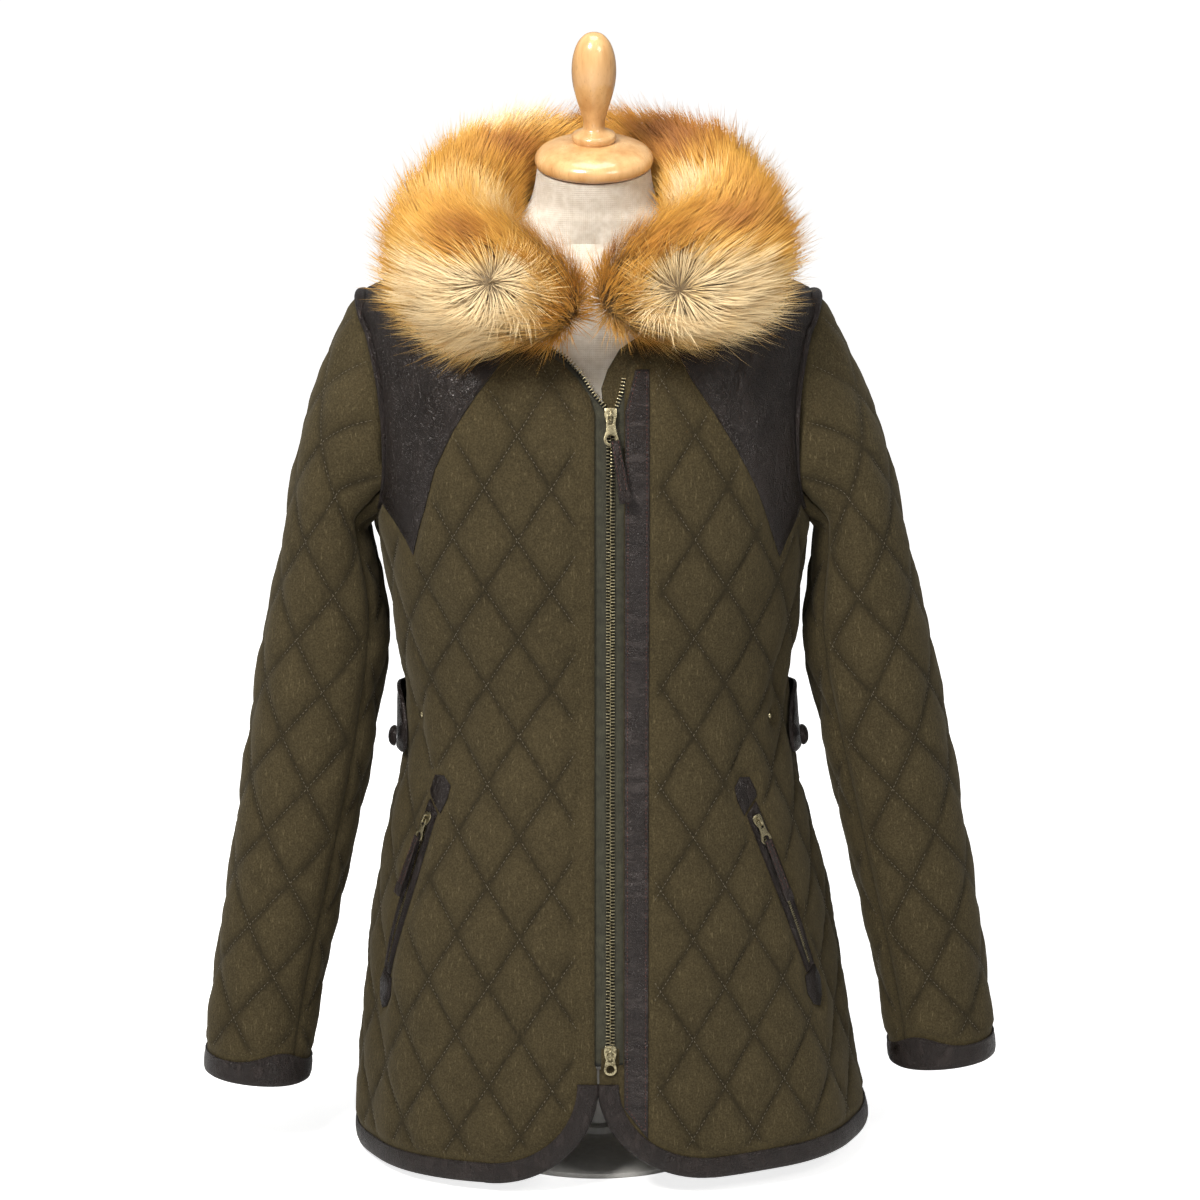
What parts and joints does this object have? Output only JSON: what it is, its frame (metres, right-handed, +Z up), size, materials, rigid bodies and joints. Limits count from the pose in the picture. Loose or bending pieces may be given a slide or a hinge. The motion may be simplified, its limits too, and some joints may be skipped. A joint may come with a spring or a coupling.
{
  "type": "quilted field coat on a dress form",
  "caption": "Quilted loden coat with leather trim and a fur collar, zipped up on a limbless dress form with a turned finial.",
  "frame": {"origin": "middle of the dress form's base, at the bottom of its foot", "axes": "+Z up, -Y out of the coat's front, +X towards the wearer's left"},
  "size_m": [0.6613, 0.3354, 0.9238],
  "materials": {
    "wool": "soft melange loden wool, quilted in diamonds",
    "leather": "dark brown soft nappa, satin",
    "zip_tape": "woven tape, grey-green",
    "brass": "aged brass, satin",
    "fur": "long fox fur, gold and rust with cream",
    "beech": "lacquered beech",
    "form_cloth": "cream cloth cover, matt",
    "stand": "pale paint, satin"
  },
  "bodies": {
    "coat_on_form": {"armhole_welt_left": "leather", "armhole_welt_right": "leather", "back": "wool", "bottom_zip_bail": "brass", "bottom_zip_slider": "brass", "cuff_binding_left": "leather", "cuff_binding_right": "leather", "form_base": "stand", "form_finial": "beech", "form_neck_cap": "beech", "form_pole": "stand", "form_torso": "form_cloth", "front_left": "wool", "front_right": "wool", "fur_collar_left": "fur", "fur_collar_right": "fur", "hem_binding_back": "leather", "hem_binding_left": "leather", "hem_binding_right": "leather", "placket_strip": "leather", "pocket_end_patch_left": "leather", "pocket_end_patch_right": "leather", "pocket_top_patch_left": "leather", "pocket_top_patch_right": "leather", "pocket_welt_left": "leather", "pocket_welt_right": "leather", "pocket_zip_left_bail": "brass", "pocket_zip_left_slider": "brass", "pocket_zip_right_bail": "brass", "pocket_zip_right_slider": "brass", "shoulder_patch_back_left": "leather", "shoulder_patch_back_right": "leather", "shoulder_patch_left": "leather", "shoulder_patch_right": "leather", "stud_left": "brass", "stud_right": "brass", "tab_button_left": "leather", "tab_button_right": "leather", "top_sleeve_left": "wool", "top_sleeve_right": "wool", "top_zip_bail": "brass", "top_zip_slider": "brass", "under_sleeve_left": "wool", "under_sleeve_right": "wool", "waist_tab_left": "leather", "waist_tab_right": "leather", "zip_guard": "wool", "zip_tape_left": "zip_tape", "zip_tape_right": "zip_tape"},
    "top_zip_pull_set": {"top_zip_pull": "brass", "top_zip_tag": "leather"},
    "bottom_zip_pull_set": {"bottom_zip_pull": "brass"},
    "pocket_pull_right": {"pocket_zip_right_pull": "brass", "pocket_zip_right_tag": "leather"},
    "pocket_pull_left": {"pocket_zip_left_pull": "brass", "pocket_zip_left_tag": "leather"}
  },
  "joints": [
    {"name": "top_zip_pull_swing", "type": "hinge", "parent": "coat_on_form", "child": "top_zip_pull_set", "pos_m": [0.01039, -0.12444, 0.63367], "axis": [-0.9994, -0.0349, 0], "range_deg": [0, 100]},
    {"name": "bottom_zip_pull_swing", "type": "hinge", "parent": "coat_on_form", "child": "bottom_zip_pull_set", "pos_m": [0.01024, -0.14931, 0.12047], "axis": [-1, -0.0075, 0], "range_deg": [0, 120]},
    {"name": "pocket_pull_right_swing", "type": "hinge", "parent": "coat_on_form", "child": "pocket_pull_right", "pos_m": [-0.13904, -0.08768, 0.2996], "axis": [-0.5132, 0.7828, 0.3518], "range_deg": [0, 110]},
    {"name": "pocket_pull_left_swing", "type": "hinge", "parent": "coat_on_form", "child": "pocket_pull_left", "pos_m": [0.13022, -0.09729, 0.29979], "axis": [-0.7657, -0.523, -0.3744], "range_deg": [0, 110]}
  ]
}
